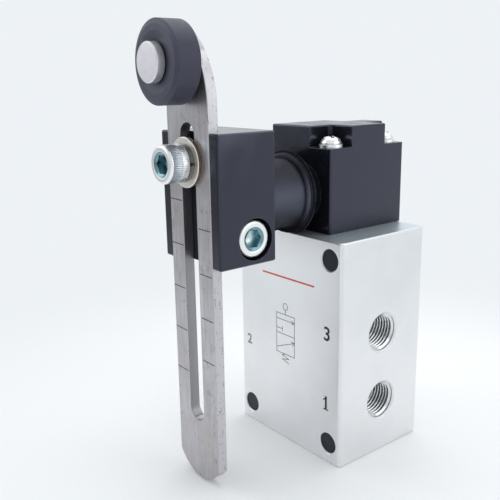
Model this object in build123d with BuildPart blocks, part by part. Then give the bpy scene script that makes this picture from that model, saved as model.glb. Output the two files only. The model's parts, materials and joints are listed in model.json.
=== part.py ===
"""Mechanical three-port control valve with a roller lever of adjustable length.

Millimetres. The origin is the middle of the valve body's lower end, +Z is up,
the supply and return ports look along +X and the lever hangs in front, along -Y.
"""

from build123d import *
import math
import os

os.makedirs("parts", exist_ok=True)

# Clearances
running_clearance = 0.03
seat_clearance = 0.02
face_clearance = 0.05
turning_gap = 0.3

# Valve body, a machined aluminium block
body_width = 39.0
body_depth = 30.0
body_height = 58.0
body_edge_radius = 1.2
body_edge_break = 0.3
corner_hole_diameter = 5.4
corner_inset_side = 4.3
corner_inset_top = 4.7
corner_inset_bottom = 5.3
corner_plug_length = 6.0
corner_plug_recess = 0.4
corner_plug_end_gap = 0.5
corner_mouth_break = 0.2
corner_bolt_hole_diameter = 4.5

# Ports, G 1/8 parallel thread at its major diameter
port_thread_diameter = 9.73
port_mouth_diameter = 10.5
port_depth = 9.5
port_cone_length = 1.6
port_passage_diameter = 5.0
port_passage_overlap = 1.0
return_port_height = 32.7
work_port_height = 23.4
supply_port_height = 14.1

# Bores of the body, from the lower end up
supply_chamber_diameter = 16.0
supply_chamber_height = 20.4
work_chamber_diameter = 12.0
web_bottom_height = 28.0
web_thickness = 2.0
web_hole_diameter = 8.0
return_chamber_diameter = 12.0
return_lip_height = 0.4
return_lip_width = 0.8

# Lower plug, its ring seal and its snap ring
plug_bottom_height = 1.9
plug_top_height = 8.0
plug_pocket_diameter = 10.4
plug_pocket_height = 4.5
plug_tool_slot_width = 1.2
plug_tool_slot_depth = 1.0
snap_ring_thickness = 1.0
snap_ring_depth = 0.55
snap_ring_width = 1.7
snap_ring_gap_angle = 60.0
seal_cord_diameter = 1.3
seal_groove_width = 1.5
plug_groove_height = 6.4

# Supply seat, pressed up against the step of the lower bore
seat_thickness = 3.0
seat_hole_diameter = 7.0
seat_lip_height = 0.4
seat_lip_width = 0.8
seat_groove_offset = 1.6

# Poppet, push pin and return spring
stem_diameter = 4.0
poppet_cup_diameter = 11.6
poppet_cup_wall = 0.8
poppet_bottom_height = 13.6
poppet_seal_thickness = 1.45
poppet_boss_diameter = 6.4
poppet_boss_length = 1.0
stem_joint_height = 25.0
pin_diameter = 6.0
pin_disc_diameter = 8.6
pin_disc_thickness = 1.6
exhaust_disc_diameter = 10.0
exhaust_disc_thickness = 1.8
exhaust_seal_thickness = 1.4
exhaust_lift = 2.3
guide_gap_above_disc = 4.1
guide_top_recess = 0.4
guide_groove_offset = 4.0
spring_mean_diameter = 8.0
spring_wire_diameter = 0.8
spring_turns = 4.5

# Lever head, a black casting on top of the body
head_width = 21.5
head_front = -10.5
head_back = 16.0
head_height = 26.1
head_edge_radius = 0.6
head_top_break = 0.4
corner_pocket_size = 7.3
corner_pocket_depth = 5.2
corner_pocket_radius = 1.5
head_cavity_height = 18.0
head_side_wall = 2.2
head_front_wall_extra = 1.0
head_pillar_diameter = 6.4
barrel_front = -27.7
barrel_diameter = 17.5
barrel_bore_diameter = 9.2
barrel_fillet = 1.2
barrel_flange_diameter = 21.0
barrel_flange_front = -15.7
barrel_flange_thickness = 1.2
barrel_flange_round = 0.5
barrel_neck_diameter = 15.0
barrel_nose_chamfer = 0.4
rear_bore_end = 14.1

# Head screws, M3 pan head with lock washers
head_screw_diameter = 3.0
head_screw_clearance = 0.4
head_screw_length = 29.0
head_screw_head_diameter = 5.5
head_screw_head_height = 1.9
head_screw_recess = 1.0
head_screw_crown = 0.9
head_screw_recess_width = 0.75
head_washer_diameter = 5.8
head_washer_thickness = 0.8
screw_tap_margin = 1.0

# Lever shaft with its flatted cam, and its two bushes
shaft_rise = 9.8
shaft_diameter = 7.0
shaft_end_chamfer = 0.3
shaft_front = -40.0
shaft_back = 13.8
cam_diameter = 9.0
cam_flat_offset = 2.4
cam_width = 6.0
bush_length = 6.5
rear_bush_length = 4.9
shaft_seal_length = 2.2
shaft_ring_thickness = 0.7
shaft_ring_wall = 0.9
shaft_ring_depth = 0.4
shaft_ring_opening = 5.0

# Lever hub, clamped on the shaft
hub_width = 22.0
hub_front = -43.8
hub_back = -28.0
hub_below_shaft = 12.9
hub_above_shaft = 16.6
hub_edge_radius = 0.6
hub_slit_width = 1.6
arm_channel_side_gap = 0.1
arm_channel_depth = 2.45
clamp_screw_y = -34.0
clamp_screw_drop = 7.1
clamp_screw_recess = 0.5
clamp_counterbore_diameter = 9.6
clamp_hole_diameter = 5.4
clamp_screw_length = 18.0

# M5 socket head screws and their washers
m5_diameter = 5.0
m5_head_diameter = 8.5
m5_head_height = 4.8
m5_head_break = 0.45
m5_socket_width = 4.0
m5_socket_depth = 2.6
arm_screw_rise = 10.05
arm_screw_grip = 9.0
flat_washer_diameter = 11.2
flat_washer_thickness = 1.05
spring_washer_diameter = 8.5
spring_washer_thickness = 1.1
spring_washer_slit = 0.6
washer_hole_diameter = 5.4

# Slotted arm
arm_width = 16.0
arm_thickness = 2.5
arm_length_to_roller = 98.5
arm_bottom_radius = 9.5
arm_nose_length_to_roller = 9.3
arm_nose_radius = 20.0
arm_tip_radius = 3.0
arm_slot_width = 5.5
arm_slot_bottom_margin = 15.1
arm_slot_top_to_roller = 12.5
arm_edge_break = 0.15

# Roller, its bush and its pin
roller_rise = 31.2
roller_diameter = 17.6
roller_width = 6.1
roller_gap_to_arm = 1.2
roller_break_radial = 1.1
roller_break_axial = 0.45
roller_dish_depth = 0.3
roller_dish_outer_diameter = 12.8
roller_dish_inner_diameter = 8.8
roller_bush_diameter = 7.0
roller_pin_diameter = 5.0
roller_pin_head_diameter = 8.4
roller_pin_head_height = 1.9
roller_pin_chamfer = 0.25
roller_spacer_diameter = 9.0
rivet_head_diameter = 7.5
rivet_head_height = 1.0
rivet_head_crown = 0.6

# Places that follow from the sizes above
shaft_height = body_height + shaft_rise
hub_bottom = shaft_height - hub_below_shaft
hub_top = shaft_height + hub_above_shaft
clamp_screw_z = shaft_height - clamp_screw_drop
arm_screw_z = shaft_height + arm_screw_rise
roller_z = shaft_height + roller_rise
arm_bottom = roller_z - arm_length_to_roller
arm_nose_start = roller_z - arm_nose_length_to_roller
arm_slot_bottom = arm_bottom + arm_slot_bottom_margin
arm_slot_top = roller_z - arm_slot_top_to_roller
corner_pitch_x = body_width - 2 * corner_inset_side
corner_pitch_z = body_height - corner_inset_top - corner_inset_bottom
corner_middle_z = (body_height - corner_inset_top + corner_inset_bottom) / 2
head_depth = head_back - head_front
head_middle_y = (head_back + head_front) / 2
head_top = body_height + head_height
pillar_x = (head_width - corner_pocket_size) / 2
pillar_front = head_front + corner_pocket_size / 2
pillar_back = head_back - corner_pocket_size / 2
head_screw_places = ((pillar_x, pillar_front), (pillar_x, pillar_back), (-pillar_x, pillar_back))
pocket_x = head_width / 2
pocket_places = ((pocket_x, head_front), (pocket_x, head_back), (-pocket_x, head_back))
pocket_floor = head_top - corner_pocket_depth
pin_top = shaft_height - cam_flat_offset - face_clearance
web_top_height = web_bottom_height + web_thickness
return_lip_top = web_top_height + return_lip_height
exhaust_seal_bottom = return_lip_top + exhaust_lift
exhaust_disc_bottom = exhaust_seal_bottom + exhaust_seal_thickness
exhaust_disc_top = exhaust_disc_bottom + exhaust_disc_thickness
guide_bottom_height = exhaust_disc_top + guide_gap_above_disc
guide_top_height = body_height - guide_top_recess
guide_groove_height = guide_bottom_height + guide_groove_offset
seat_bottom = supply_chamber_height - seat_thickness
seat_lip_bottom = seat_bottom - seat_lip_height
poppet_seal_top = seat_lip_bottom - face_clearance
poppet_seal_bottom = poppet_seal_top - poppet_seal_thickness
hub_floor = hub_front + arm_channel_depth
arm_back = hub_floor - face_clearance
arm_front = arm_back - arm_thickness
roller_back = arm_front - roller_gap_to_arm
roller_front = roller_back - roller_width
shaft_axis = Axis((0, 0, shaft_height), (0, 1, 0))
bush_front = barrel_front + shaft_seal_length + face_clearance
rear_bush_front = rear_bore_end - rear_bush_length


def turned(*points):
    """Closed profile in the XZ plane, turned about the vertical axis."""
    with BuildSketch(Plane.XZ) as profile:
        with BuildLine():
            Polyline(*points, close=True)
        make_face()
    revolve(profile.sketch, axis=Axis.Z)


def turned_across(height, *points, mode=Mode.ADD):
    """Closed profile of (y, radius) points, turned about a level line along Y."""
    with BuildSketch(Plane.YZ) as profile:
        with BuildLine():
            Polyline(*[(y, height + r) for y, r in points], close=True)
        make_face()
    revolve(profile.sketch, axis=Axis((0, 0, height), (0, 1, 0)), mode=mode)


def tube(outer_diameter, inner_diameter, start, length, plane=Plane.XY, mode=Mode.ADD):
    """Plain tube or, with an inner diameter of 0, a plain rod, along the plane's normal."""
    with BuildSketch(plane.offset(start)) as section:
        Circle(outer_diameter / 2)
        if inner_diameter > 0:
            Circle(inner_diameter / 2, mode=Mode.SUBTRACT)
    extrude(section.sketch, amount=length, mode=mode)


def ring_cord(mean_diameter, cord_diameter, height):
    """Rubber ring of round section about the vertical axis."""
    with BuildSketch(Plane.XZ) as section:
        with Locations((mean_diameter / 2, height)):
            Circle(cord_diameter / 2)
    revolve(section.sketch, axis=Axis.Z)


def port(side, height, chamber_diameter):
    """Threaded port on the +X (side 1) or -X (side -1) face with its passage to a chamber."""
    face = side * body_width / 2
    bottom = face - side * port_depth
    cone_end = bottom - side * port_cone_length
    inner = side * (chamber_diameter / 2 - port_passage_overlap)
    break_end = face - side * (port_mouth_diameter - port_thread_diameter) / 2
    with BuildSketch(Plane.XZ) as profile:
        with BuildLine():
            Polyline(
                (face, height),
                (face, height + port_mouth_diameter / 2),
                (break_end, height + port_thread_diameter / 2),
                (bottom, height + port_thread_diameter / 2),
                (cone_end, height + port_passage_diameter / 2),
                (inner, height + port_passage_diameter / 2),
                (inner, height),
                close=True,
            )
        make_face()
    revolve(profile.sketch, axis=Axis((0, 0, height), (1, 0, 0)), mode=Mode.SUBTRACT)


def cap_screw(plane, under_head, shank_length):
    """M5 socket head screw whose head points along the plane's normal."""
    tube(m5_diameter, 0, under_head - shank_length, shank_length, plane)
    tube(m5_head_diameter, 0, under_head, m5_head_height, plane)


def cap_screw_socket(plane, under_head):
    """Hexagon socket of an M5 head."""
    with BuildSketch(plane.offset(under_head + m5_head_height - m5_socket_depth)) as socket:
        RegularPolygon(m5_socket_width / 2, 6, major_radius=False)
    extrude(socket.sketch, amount=m5_socket_depth, mode=Mode.SUBTRACT)


# Valve body
with BuildPart() as valve_body:
    with BuildSketch():
        RectangleRounded(body_width, body_depth, body_edge_radius)
    extrude(amount=body_height)
    end_faces = valve_body.faces().filter_by(Axis.Z)
    chamfer(end_faces.edges(), body_edge_break)
    snap_groove_radius = supply_chamber_diameter / 2 + snap_ring_depth
    snap_bottom = plug_bottom_height - face_clearance - snap_ring_thickness
    with BuildSketch(Plane.XZ):
        with BuildLine():
            Polyline(
                (0, 0),
                (supply_chamber_diameter / 2, 0),
                (supply_chamber_diameter / 2, snap_bottom - face_clearance),
                (snap_groove_radius, snap_bottom - face_clearance),
                (snap_groove_radius, plug_bottom_height),
                (supply_chamber_diameter / 2, plug_bottom_height),
                (supply_chamber_diameter / 2, supply_chamber_height),
                (work_chamber_diameter / 2, supply_chamber_height),
                (work_chamber_diameter / 2, web_bottom_height),
                (web_hole_diameter / 2, web_bottom_height),
                (web_hole_diameter / 2, return_lip_top),
                (web_hole_diameter / 2 + return_lip_width, return_lip_top),
                (web_hole_diameter / 2 + return_lip_width, web_top_height),
                (return_chamber_diameter / 2, web_top_height),
                (return_chamber_diameter / 2, body_height),
                (0, body_height),
                close=True,
            )
        make_face()
    revolve(axis=Axis.Z, mode=Mode.SUBTRACT)
    port(1, return_port_height, return_chamber_diameter)
    port(-1, work_port_height, work_chamber_diameter)
    port(1, supply_port_height, supply_chamber_diameter)
    with BuildSketch(Plane.XZ.offset(body_depth / 2)):
        with Locations((0, corner_middle_z)):
            with GridLocations(corner_pitch_x, corner_pitch_z, 2, 2):
                Circle(corner_hole_diameter / 2)
    extrude(amount=-corner_plug_recess - corner_plug_length - corner_plug_end_gap,
            mode=Mode.SUBTRACT)
    front_face = valve_body.faces().sort_by(Axis.Y)[0]
    chamfer(front_face.inner_wires().edges(), corner_mouth_break)
    with BuildSketch(Plane.XZ.offset(body_depth / 2)):
        with Locations((0, corner_middle_z)):
            with GridLocations(corner_pitch_x, corner_pitch_z, 2, 2):
                Circle(corner_bolt_hole_diameter / 2)
    extrude(amount=-body_depth, mode=Mode.SUBTRACT)
    head_screw_tip = pocket_floor + head_washer_thickness - head_screw_length
    with BuildSketch(Plane.XY.offset(body_height)):
        with Locations(*head_screw_places):
            Circle(head_screw_diameter / 2 + running_clearance)
    extrude(amount=head_screw_tip - screw_tap_margin - body_height, mode=Mode.SUBTRACT)
valve_body.part.label = "valve_body"
export_step(valve_body.part, "parts/valve_body.step")

# Black plugs that close the corner holes at the front
with BuildPart() as corner_plugs:
    with BuildSketch(Plane.XZ.offset(body_depth / 2 - corner_plug_recess)):
        with Locations((0, corner_middle_z)):
            with GridLocations(corner_pitch_x, corner_pitch_z, 2, 2):
                Circle(corner_hole_diameter / 2 - seat_clearance)
    extrude(amount=-corner_plug_length)
corner_plugs.part.label = "corner_plugs"
export_step(corner_plugs.part, "parts/corner_plugs.step")

# Lower plug with a spring pocket above and a slot for a screwdriver below
with BuildPart() as bottom_plug:
    plug_radius = supply_chamber_diameter / 2 - seat_clearance
    plug_groove_radius = plug_radius - seal_cord_diameter + 2 * seat_clearance
    turned(
        (0, plug_bottom_height),
        (plug_radius, plug_bottom_height),
        (plug_radius, plug_groove_height - seal_groove_width / 2),
        (plug_groove_radius, plug_groove_height - seal_groove_width / 2),
        (plug_groove_radius, plug_groove_height + seal_groove_width / 2),
        (plug_radius, plug_groove_height + seal_groove_width / 2),
        (plug_radius, plug_top_height),
        (plug_pocket_diameter / 2, plug_top_height),
        (plug_pocket_diameter / 2, plug_pocket_height),
        (0, plug_pocket_height),
    )
    with BuildSketch(Plane.XY.offset(plug_bottom_height)):
        Rectangle(2 * plug_groove_radius, plug_tool_slot_width)
    extrude(amount=plug_tool_slot_depth, mode=Mode.SUBTRACT)
bottom_plug.part.label = "bottom_plug"
export_step(bottom_plug.part, "parts/bottom_plug.step")

with BuildPart() as bottom_plug_seal:
    cord = seal_cord_diameter - 2 * seat_clearance
    ring_cord(2 * plug_radius - cord, cord, plug_groove_height)
bottom_plug_seal.part.label = "bottom_plug_seal"
export_step(bottom_plug_seal.part, "parts/bottom_plug_seal.step")

# Snap ring under the lower plug
with BuildPart() as bottom_snap_ring:
    ring_radius = snap_groove_radius - seat_clearance
    with BuildSketch(Plane.XY.offset(snap_bottom)):
        with BuildLine():
            half_gap = snap_ring_gap_angle / 2
            outer = CenterArc((0, 0), ring_radius, half_gap, 360 - 2 * half_gap)
            inner = CenterArc((0, 0), ring_radius - snap_ring_width, half_gap, 360 - 2 * half_gap)
            Line(outer @ 0, inner @ 0)
            Line(outer @ 1, inner @ 1)
        make_face()
    extrude(amount=snap_ring_thickness)
bottom_snap_ring.part.label = "bottom_snap_ring"
export_step(bottom_snap_ring.part, "parts/bottom_snap_ring.step")

# Supply seat with its sealing lip and its own ring seal
with BuildPart() as supply_seat:
    seat_radius = supply_chamber_diameter / 2 - seat_clearance
    seat_groove_radius = seat_radius - seal_cord_diameter + 2 * seat_clearance
    seat_groove_height = seat_bottom + seat_groove_offset
    turned(
        (seat_hole_diameter / 2, seat_lip_bottom),
        (seat_hole_diameter / 2 + seat_lip_width, seat_lip_bottom),
        (seat_hole_diameter / 2 + seat_lip_width, seat_bottom),
        (seat_radius, seat_bottom),
        (seat_radius, seat_groove_height - seal_groove_width / 2),
        (seat_groove_radius, seat_groove_height - seal_groove_width / 2),
        (seat_groove_radius, seat_groove_height + seal_groove_width / 2),
        (seat_radius, seat_groove_height + seal_groove_width / 2),
        (seat_radius, supply_chamber_height),
        (seat_hole_diameter / 2, supply_chamber_height),
    )
supply_seat.part.label = "supply_seat"
export_step(supply_seat.part, "parts/supply_seat.step")

with BuildPart() as supply_seat_seal:
    ring_cord(2 * seat_radius - cord, cord, seat_groove_height)
supply_seat_seal.part.label = "supply_seat_seal"
export_step(supply_seat_seal.part, "parts/supply_seat_seal.step")

# Guide bush of the push pin, pressed into the top of the body
with BuildPart() as guide_bush:
    guide_radius = return_chamber_diameter / 2 - seat_clearance
    guide_hole_radius = pin_diameter / 2 + running_clearance
    guide_groove_radius = guide_hole_radius + seal_cord_diameter
    turned(
        (guide_hole_radius, guide_bottom_height),
        (guide_radius, guide_bottom_height),
        (guide_radius, guide_top_height),
        (guide_hole_radius, guide_top_height),
        (guide_hole_radius, guide_groove_height + seal_groove_width / 2),
        (guide_groove_radius, guide_groove_height + seal_groove_width / 2),
        (guide_groove_radius, guide_groove_height - seal_groove_width / 2),
        (guide_hole_radius, guide_groove_height - seal_groove_width / 2),
    )
guide_bush.part.label = "guide_bush"
export_step(guide_bush.part, "parts/guide_bush.step")

with BuildPart() as pin_seal:
    ring_cord(2 * guide_hole_radius + seal_cord_diameter, cord, guide_groove_height)
pin_seal.part.label = "pin_seal"
export_step(pin_seal.part, "parts/pin_seal.step")

# Push pin: disc under the cam, guided pin, exhaust disc and stub that meets the poppet
with BuildPart() as push_pin:
    turned(
        (0, stem_joint_height),
        (stem_diameter / 2, stem_joint_height),
        (stem_diameter / 2, exhaust_disc_bottom),
        (exhaust_disc_diameter / 2, exhaust_disc_bottom),
        (exhaust_disc_diameter / 2, exhaust_disc_top),
        (pin_diameter / 2, exhaust_disc_top),
        (pin_diameter / 2, pin_top - pin_disc_thickness),
        (pin_disc_diameter / 2, pin_top - pin_disc_thickness),
        (pin_disc_diameter / 2, pin_top),
        (0, pin_top),
    )
push_pin.part.label = "push_pin"
export_step(push_pin.part, "parts/push_pin.step")

with BuildPart() as exhaust_seal:
    tube(
        exhaust_disc_diameter,
        stem_diameter + 2 * seat_clearance,
        exhaust_seal_bottom,
        exhaust_seal_thickness,
    )
exhaust_seal.part.label = "exhaust_seal"
export_step(exhaust_seal.part, "parts/exhaust_seal.step")

# Poppet with the cup that holds its seal, and a boss that centres the spring
with BuildPart() as poppet:
    cup_inner = poppet_cup_diameter / 2 - poppet_cup_wall
    turned(
        (0, poppet_bottom_height - poppet_boss_length),
        (poppet_boss_diameter / 2, poppet_bottom_height - poppet_boss_length),
        (poppet_boss_diameter / 2, poppet_bottom_height),
        (poppet_cup_diameter / 2, poppet_bottom_height),
        (poppet_cup_diameter / 2, seat_lip_bottom - seat_lip_height),
        (cup_inner, seat_lip_bottom - seat_lip_height),
        (cup_inner, poppet_seal_bottom),
        (stem_diameter / 2, poppet_seal_bottom),
        (stem_diameter / 2, stem_joint_height),
        (0, stem_joint_height),
    )
poppet.part.label = "poppet"
export_step(poppet.part, "parts/poppet.step")

with BuildPart() as poppet_seal:
    tube(
        2 * (cup_inner - seat_clearance),
        stem_diameter + 2 * seat_clearance,
        poppet_seal_bottom,
        poppet_seal_thickness,
    )
poppet_seal.part.label = "poppet_seal"
export_step(poppet_seal.part, "parts/poppet_seal.step")

# Return spring between the lower plug and the poppet
with BuildPart() as return_spring:
    spring_start = plug_pocket_height + spring_wire_diameter / 2 + face_clearance
    spring_end = poppet_bottom_height - spring_wire_diameter / 2 - face_clearance
    spring_rise = spring_end - spring_start
    with BuildLine(Plane.XY.offset(spring_start)):
        coil = Helix(spring_rise / spring_turns, spring_rise, spring_mean_diameter / 2)
    with BuildSketch(Plane(origin=coil @ 0, z_dir=coil % 0)):
        Circle(spring_wire_diameter / 2)
    sweep(path=coil, is_frenet=True)
return_spring.part.label = "return_spring"
export_step(return_spring.part, "parts/return_spring.step")

# Lever head: cast block with three corner pockets, and the barrel that carries the shaft
with BuildPart() as head_housing:
    with BuildSketch(Plane.XY.offset(body_height)):
        with Locations((0, head_middle_y)):
            RectangleRounded(head_width, head_depth, head_edge_radius)
    extrude(amount=head_height)
    with BuildSketch(Plane.XY.offset(head_top)):
        with Locations(*pocket_places):
            RectangleRounded(2 * corner_pocket_size, 2 * corner_pocket_size, corner_pocket_radius)
    extrude(amount=-corner_pocket_depth, mode=Mode.SUBTRACT)
    top_face = head_housing.faces().filter_by(Axis.Z).sort_by(Axis.Z)[-1]
    fillet(top_face.outer_wire().edges(), head_top_break)
    barrel_radius = barrel_diameter / 2
    flange_radius = barrel_flange_diameter / 2
    flange_back = barrel_flange_front + barrel_flange_thickness
    with BuildSketch(Plane.YZ):
        with BuildLine():
            axis_start = (barrel_front, shaft_height)
            nose_start = (barrel_front, shaft_height + barrel_radius - barrel_nose_chamfer)
            nose_end = (barrel_front + barrel_nose_chamfer, shaft_height + barrel_radius)
            fillet_start = (barrel_flange_front - barrel_fillet, shaft_height + barrel_radius)
            fillet_end = (barrel_flange_front, shaft_height + barrel_radius + barrel_fillet)
            flange_top = shaft_height + flange_radius
            front_round_start = (barrel_flange_front, flange_top - barrel_flange_round)
            front_round_end = (barrel_flange_front + barrel_flange_round, flange_top)
            back_round_start = (flange_back - barrel_flange_round, flange_top)
            back_round_end = (flange_back, flange_top - barrel_flange_round)
            Polyline(axis_start, nose_start, nose_end, fillet_start)
            RadiusArc(fillet_start, fillet_end, barrel_fillet)
            Line(fillet_end, front_round_start)
            RadiusArc(front_round_start, front_round_end, -barrel_flange_round)
            Line(front_round_end, back_round_start)
            RadiusArc(back_round_start, back_round_end, -barrel_flange_round)
            Polyline(
                back_round_end,
                (flange_back, shaft_height + barrel_neck_diameter / 2),
                (head_front + head_side_wall, shaft_height + barrel_neck_diameter / 2),
                (head_front + head_side_wall, shaft_height),
                axis_start,
            )
        make_face()
    revolve(axis=shaft_axis)
    # The flange is cut flat where it sits on the body
    with BuildSketch(Plane.XY.offset(body_height)):
        with Locations((0, barrel_flange_front)):
            Rectangle(2 * flange_radius, 2 * flange_radius)
    extrude(amount=-flange_radius, mode=Mode.SUBTRACT)
    pillar_inner_x = pillar_x - head_pillar_diameter / 2
    pillar_front_y = pillar_front + head_pillar_diameter / 2
    pillar_back_y = pillar_back - head_pillar_diameter / 2
    cavity_front = head_front + head_side_wall + head_front_wall_extra
    with BuildSketch(Plane.XY.offset(body_height)):
        with Locations((0, (pillar_front_y + pillar_back_y) / 2)):
            Rectangle(head_width - 2 * head_side_wall, pillar_back_y - pillar_front_y)
        with Locations((0, (cavity_front + pillar_back_y) / 2)):
            Rectangle(2 * pillar_inner_x, pillar_back_y - cavity_front)
    extrude(amount=head_cavity_height, mode=Mode.SUBTRACT)
    bore_radius = barrel_bore_diameter / 2
    turned_across(
        shaft_height,
        (barrel_front, 0),
        (barrel_front, bore_radius),
        (rear_bore_end, bore_radius),
        (rear_bore_end, 0),
        mode=Mode.SUBTRACT,
    )
    with BuildSketch(Plane.XY.offset(body_height)):
        with Locations(*head_screw_places):
            Circle(head_screw_diameter / 2 + head_screw_clearance / 2)
    extrude(amount=head_height, mode=Mode.SUBTRACT)
head_housing.part.label = "head_housing"
export_step(head_housing.part, "parts/head_housing.step")

# Three pan head screws that hold the head to the body
with BuildPart() as head_screws:
    under_head = pocket_floor + head_washer_thickness
    with BuildSketch(Plane.XY.offset(head_screw_tip)):
        with Locations(*head_screw_places):
            Circle(head_screw_diameter / 2)
    extrude(amount=head_screw_length)
    with BuildSketch(Plane.XY.offset(under_head)):
        with Locations(*head_screw_places):
            Circle(head_screw_head_diameter / 2)
    extrude(amount=head_screw_head_height)
    top_edges = head_screws.edges().filter_by(GeomType.CIRCLE).group_by(Axis.Z)[-1]
    fillet(top_edges, head_screw_crown)
    with BuildSketch(Plane.XY.offset(under_head + head_screw_head_height)):
        with Locations(*head_screw_places):
            Rectangle(head_screw_diameter, head_screw_recess_width)
            Rectangle(head_screw_recess_width, head_screw_diameter)
    extrude(amount=-head_screw_recess, mode=Mode.SUBTRACT)
head_screws.part.label = "head_screws"
export_step(head_screws.part, "parts/head_screws.step")

with BuildPart() as head_washers:
    with BuildSketch(Plane.XY.offset(pocket_floor)):
        with Locations(*head_screw_places):
            Circle(head_washer_diameter / 2)
            Circle(head_screw_diameter / 2 + seat_clearance, mode=Mode.SUBTRACT)
    extrude(amount=head_washer_thickness)
head_washers.part.label = "head_washers"
export_step(head_washers.part, "parts/head_washers.step")

# Shaft bushes and the seal at the mouth of the barrel
shaft_hole = shaft_diameter + 2 * running_clearance
bush_diameter = barrel_bore_diameter - 2 * seat_clearance
shaft_plane = Plane(origin=(0, 0, shaft_height), x_dir=(1, 0, 0), z_dir=(0, 1, 0))

with BuildPart() as shaft_seal:
    tube(bush_diameter, shaft_hole, barrel_front + face_clearance, shaft_seal_length,
         shaft_plane)
shaft_seal.part.label = "shaft_seal"
export_step(shaft_seal.part, "parts/shaft_seal.step")

with BuildPart() as front_bush:
    tube(bush_diameter, shaft_hole, bush_front + face_clearance, bush_length,
         shaft_plane)
front_bush.part.label = "front_bush"
export_step(front_bush.part, "parts/front_bush.step")

with BuildPart() as rear_bush:
    tube(bush_diameter, shaft_hole, rear_bush_front, rear_bush_length,
         shaft_plane)
rear_bush.part.label = "rear_bush"
export_step(rear_bush.part, "parts/rear_bush.step")

# Lever shaft: two ring grooves and a cam with a flat that rests on the push pin
front_ring_start = bush_front + bush_length + 2 * face_clearance
rear_ring_start = rear_bush_front - face_clearance - shaft_ring_thickness
groove_radius = shaft_diameter / 2 - shaft_ring_depth
with BuildPart() as lever_shaft:
    shaft_radius = shaft_diameter / 2
    turned_across(
        shaft_height,
        (shaft_front, 0),
        (shaft_front, shaft_radius - shaft_end_chamfer),
        (shaft_front + shaft_end_chamfer, shaft_radius),
        (front_ring_start, shaft_radius),
        (front_ring_start, groove_radius),
        (front_ring_start + shaft_ring_thickness + face_clearance, groove_radius),
        (front_ring_start + shaft_ring_thickness + face_clearance, shaft_radius),
        (-cam_width / 2, shaft_radius),
        (-cam_width / 2, cam_diameter / 2),
        (cam_width / 2, cam_diameter / 2),
        (cam_width / 2, shaft_radius),
        (rear_ring_start - face_clearance, shaft_radius),
        (rear_ring_start - face_clearance, groove_radius),
        (rear_ring_start + shaft_ring_thickness, groove_radius),
        (rear_ring_start + shaft_ring_thickness, shaft_radius),
        (shaft_back, shaft_radius),
        (shaft_back, 0),
    )
    with BuildSketch(Plane.XY.offset(shaft_height - cam_flat_offset)):
        Rectangle(2 * cam_diameter, pin_disc_diameter + 2 * turning_gap)
    extrude(amount=-cam_diameter, mode=Mode.SUBTRACT)
lever_shaft.part.label = "lever_shaft"
export_step(lever_shaft.part, "parts/lever_shaft.step")


def shaft_ring(start):
    """Open retaining ring in a groove of the shaft, from the given y place."""
    inner = groove_radius + seat_clearance
    outer = inner + shaft_ring_wall
    with BuildSketch(shaft_plane.offset(start)) as section:
        Circle(outer)
        Circle(inner, mode=Mode.SUBTRACT)
        with Locations((outer, 0)):
            Rectangle(2 * outer, shaft_ring_opening, mode=Mode.SUBTRACT)
    extrude(section.sketch, amount=shaft_ring_thickness)


with BuildPart() as shaft_rings:
    shaft_ring(front_ring_start + face_clearance / 2)
    shaft_ring(rear_ring_start - face_clearance / 2)
shaft_rings.part.label = "shaft_rings"
export_step(shaft_rings.part, "parts/shaft_rings.step")

# Lever hub: block with a channel for the arm, a blind bore for the shaft and a clamping slit
with BuildPart() as lever_hub:
    hub_middle_y = (hub_front + hub_back) / 2
    with BuildSketch(Plane.XY.offset(hub_bottom)):
        with Locations((0, hub_middle_y)):
            RectangleRounded(hub_width, hub_back - hub_front, hub_edge_radius)
    extrude(amount=hub_top - hub_bottom)
    hub_ends = lever_hub.faces().filter_by(Axis.Z)
    chamfer(hub_ends.edges(), hub_edge_radius / 2)
    channel_width = arm_width + 2 * arm_channel_side_gap
    with BuildSketch(Plane.XY.offset(hub_bottom)):
        with Locations((0, hub_front)):
            Rectangle(channel_width, 2 * arm_channel_depth)
    extrude(amount=hub_top - hub_bottom, mode=Mode.SUBTRACT)
    shaft_end = shaft_front - face_clearance
    turned_across(
        shaft_height,
        (shaft_end, 0),
        (shaft_end, shaft_hole / 2),
        (hub_back, shaft_hole / 2),
        (hub_back, 0),
        mode=Mode.SUBTRACT,
    )
    with BuildSketch(Plane.XY.offset(hub_bottom)):
        with Locations((0, hub_middle_y)):
            Rectangle(hub_slit_width, hub_back - hub_front)
    extrude(amount=shaft_height - hub_bottom, mode=Mode.SUBTRACT)
    clamp_origin = (0, clamp_screw_y, clamp_screw_z)
    clamp_plane = Plane(origin=clamp_origin, x_dir=(0, 1, 0), z_dir=(1, 0, 0))
    clamp_head_top = hub_width / 2 - clamp_screw_recess
    clamp_under_head = clamp_head_top - m5_head_height
    tube(clamp_counterbore_diameter, 0, clamp_under_head, hub_width, clamp_plane, Mode.SUBTRACT)
    tube(clamp_hole_diameter, 0, 0, hub_width, clamp_plane, Mode.SUBTRACT)
    tube(m5_diameter + 2 * running_clearance, 0, -hub_width, hub_width, clamp_plane, Mode.SUBTRACT)
    arm_screw_plane = Plane(origin=(0, 0, arm_screw_z), x_dir=(1, 0, 0), z_dir=(0, -1, 0))
    tap_end = arm_screw_grip + screw_tap_margin
    tube(m5_diameter + 2 * running_clearance, 0, -hub_floor - tap_end, tap_end, arm_screw_plane,
         Mode.SUBTRACT)
lever_hub.part.label = "lever_hub"
export_step(lever_hub.part, "parts/lever_hub.step")

with BuildPart() as clamp_screw:
    cap_screw(clamp_plane, clamp_under_head, clamp_screw_length - m5_head_height)
    fillet(clamp_screw.faces().sort_by(Axis.X)[-1].edges(), m5_head_break)
    cap_screw_socket(clamp_plane, clamp_under_head)
clamp_screw.part.label = "clamp_screw"
export_step(clamp_screw.part, "parts/clamp_screw.step")

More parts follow.
